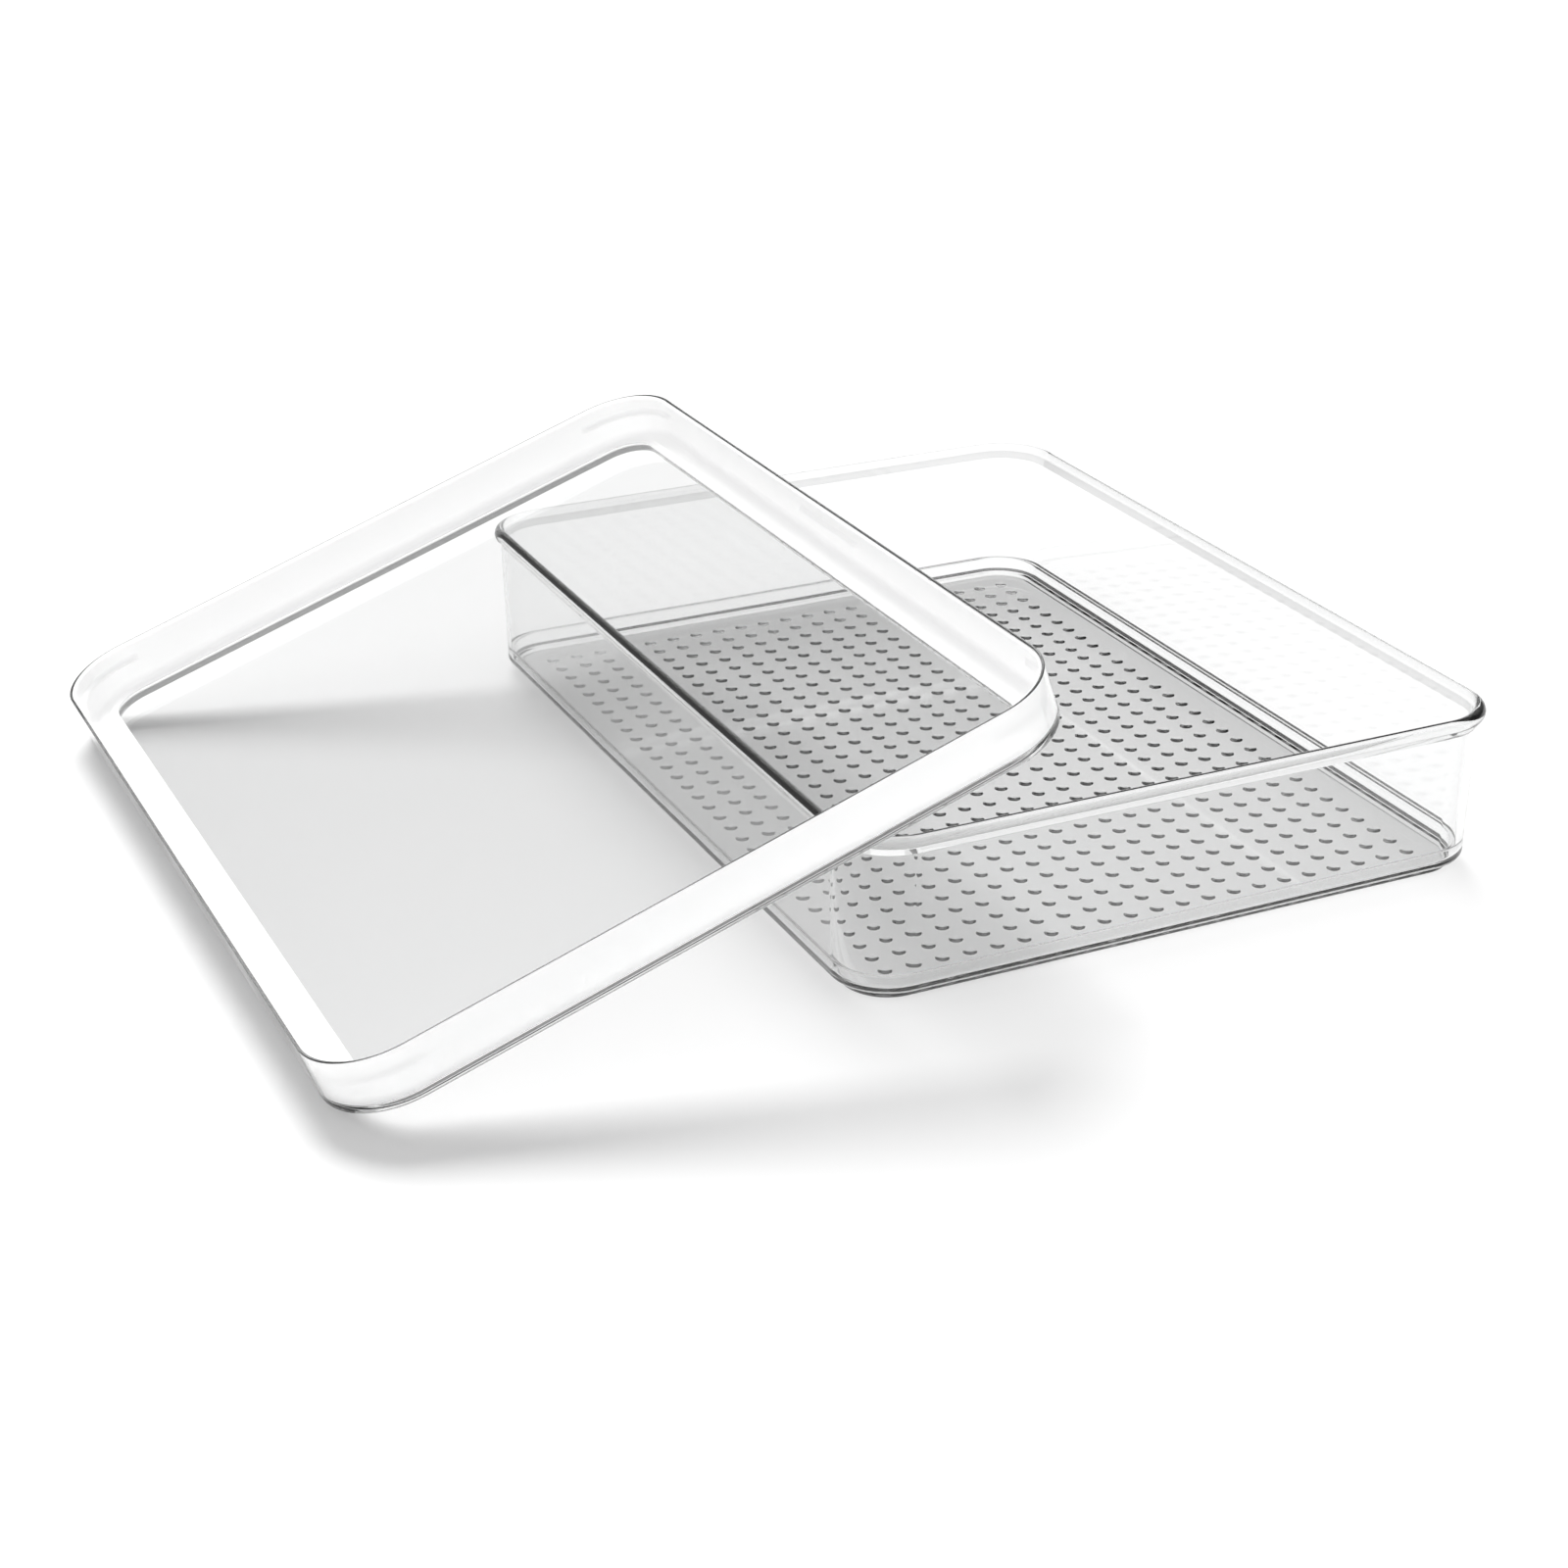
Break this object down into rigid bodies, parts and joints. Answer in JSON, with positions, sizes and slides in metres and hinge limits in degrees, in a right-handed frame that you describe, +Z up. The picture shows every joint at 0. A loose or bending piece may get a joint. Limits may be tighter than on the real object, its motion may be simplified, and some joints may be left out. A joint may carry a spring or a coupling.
{
  "type": "refrigerator bin",
  "caption": "Clear shallow refrigerator storage bin with a rolled rim and a bumpy floor, and its clear lid with a soft white seal, leaning open side up on the rim.",
  "frame": {"origin": "centre of the bin's flat foot, on the surface that it stands on", "axes": "+Z up; +X along the short front wall, away from the lid; +Y from the front wall to the back wall"},
  "size_m": [0.3947, 0.3257, 0.0987],
  "materials": {
    "bin_plastic": "clear polished",
    "lid_plastic": "clear polished",
    "seal_rubber": "matt soft white"
  },
  "bodies": {
    "bin": {"bin": "bin_plastic"},
    "lid": {"lid": "lid_plastic", "lid_seal": "seal_rubber"}
  },
  "joints": [
    {"name": "lid_lift", "type": "slide", "parent": "bin", "child": "lid", "axis": [0, 0, 1], "range_m": [0, 0.12]}
  ]
}
